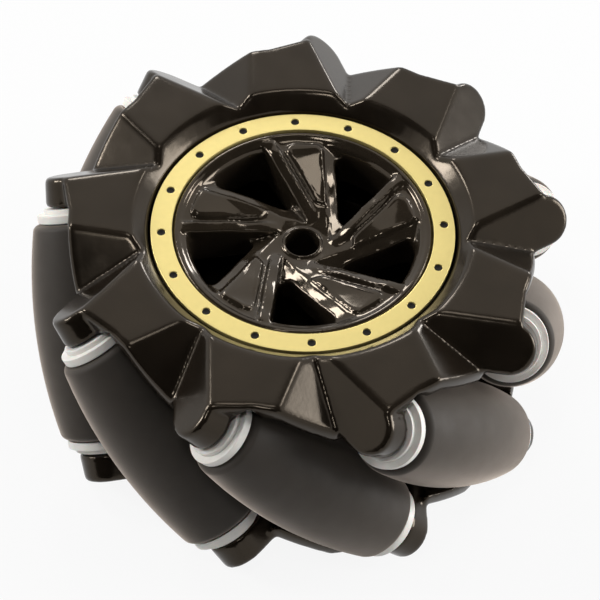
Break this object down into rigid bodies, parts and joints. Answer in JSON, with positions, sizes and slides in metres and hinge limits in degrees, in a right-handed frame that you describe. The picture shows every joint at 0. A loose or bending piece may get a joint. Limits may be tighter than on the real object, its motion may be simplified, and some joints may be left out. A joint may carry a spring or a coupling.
{
  "type": "mecanum wheel",
  "caption": "Mecanum wheel with slanted barrel rollers held between two toothed black plates, a gold trim ring and a spoked centre.",
  "frame": {"origin": "on the wheel axis, in the middle plane of the rollers", "axes": "+Z along the wheel axis, towards the front face with the trim ring"},
  "size_m": [0.097, 0.097, 0.046],
  "materials": {
    "plate_black": "glossy moulded",
    "insert_black": "high gloss",
    "ring_gold": "satin",
    "pin_black": "matt",
    "screw_steel": "blackened",
    "tread_rubber": "matt",
    "core_plastic": "matt",
    "bush_nylon": "satin",
    "axle_steel": "ground"
  },
  "bodies": {
    "hub": {"front_plate": "plate_black", "back_plate": "plate_black", "spoke_centre": "insert_black", "trim_ring": "ring_gold", "ring_pins": "pin_black", "plate_screws": "screw_steel", "roller_1_axle": "axle_steel", "roller_2_axle": "axle_steel", "roller_3_axle": "axle_steel", "roller_4_axle": "axle_steel", "roller_5_axle": "axle_steel", "roller_6_axle": "axle_steel", "roller_7_axle": "axle_steel", "roller_8_axle": "axle_steel", "roller_9_axle": "axle_steel"},
    "roller_1": {"roller_1_tread": "tread_rubber", "roller_1_core": "core_plastic", "roller_1_front_bush": "bush_nylon", "roller_1_back_bush": "bush_nylon"},
    "roller_2": {"roller_2_tread": "tread_rubber", "roller_2_core": "core_plastic", "roller_2_front_bush": "bush_nylon", "roller_2_back_bush": "bush_nylon"},
    "roller_3": {"roller_3_tread": "tread_rubber", "roller_3_core": "core_plastic", "roller_3_front_bush": "bush_nylon", "roller_3_back_bush": "bush_nylon"},
    "roller_4": {"roller_4_tread": "tread_rubber", "roller_4_core": "core_plastic", "roller_4_front_bush": "bush_nylon", "roller_4_back_bush": "bush_nylon"},
    "roller_5": {"roller_5_tread": "tread_rubber", "roller_5_core": "core_plastic", "roller_5_front_bush": "bush_nylon", "roller_5_back_bush": "bush_nylon"},
    "roller_6": {"roller_6_tread": "tread_rubber", "roller_6_core": "core_plastic", "roller_6_front_bush": "bush_nylon", "roller_6_back_bush": "bush_nylon"},
    "roller_7": {"roller_7_tread": "tread_rubber", "roller_7_core": "core_plastic", "roller_7_front_bush": "bush_nylon", "roller_7_back_bush": "bush_nylon"},
    "roller_8": {"roller_8_tread": "tread_rubber", "roller_8_core": "core_plastic", "roller_8_front_bush": "bush_nylon", "roller_8_back_bush": "bush_nylon"},
    "roller_9": {"roller_9_tread": "tread_rubber", "roller_9_core": "core_plastic", "roller_9_front_bush": "bush_nylon", "roller_9_back_bush": "bush_nylon"}
  },
  "joints": [
    {"name": "roller_1_spin", "type": "hinge", "parent": "hub", "child": "roller_1", "pos_m": [0.0384, -0.00438, 0], "axis": [-0.08, -0.7026, 0.7071], "continuous": true},
    {"name": "roller_2_spin", "type": "hinge", "parent": "hub", "child": "roller_2", "pos_m": [0.0266, -0.02804, 0], "axis": [-0.5129, -0.4867, 0.7071], "continuous": true},
    {"name": "roller_3_spin", "type": "hinge", "parent": "hub", "child": "roller_3", "pos_m": [0.00236, -0.03858, 0], "axis": [-0.7058, -0.0432, 0.7071], "continuous": true},
    {"name": "roller_4_spin", "type": "hinge", "parent": "hub", "child": "roller_4", "pos_m": [-0.02299, -0.03107, 0], "axis": [-0.5684, 0.4206, 0.7071], "continuous": true},
    {"name": "roller_5_spin", "type": "hinge", "parent": "hub", "child": "roller_5", "pos_m": [-0.03758, -0.00902, 0], "axis": [-0.1651, 0.6876, 0.7071], "continuous": true},
    {"name": "roller_6_spin", "type": "hinge", "parent": "hub", "child": "roller_6", "pos_m": [-0.03459, 0.01725, 0], "axis": [0.3155, 0.6328, 0.7071], "continuous": true},
    {"name": "roller_7_spin", "type": "hinge", "parent": "hub", "child": "roller_7", "pos_m": [-0.01541, 0.03544, 0], "axis": [0.6485, 0.282, 0.7071], "continuous": true},
    {"name": "roller_8_spin", "type": "hinge", "parent": "hub", "child": "roller_8", "pos_m": [0.01098, 0.03706, 0], "axis": [0.678, -0.2008, 0.7071], "continuous": true},
    {"name": "roller_9_spin", "type": "hinge", "parent": "hub", "child": "roller_9", "pos_m": [0.03223, 0.02133, 0], "axis": [0.3903, -0.5896, 0.7071], "continuous": true}
  ]
}
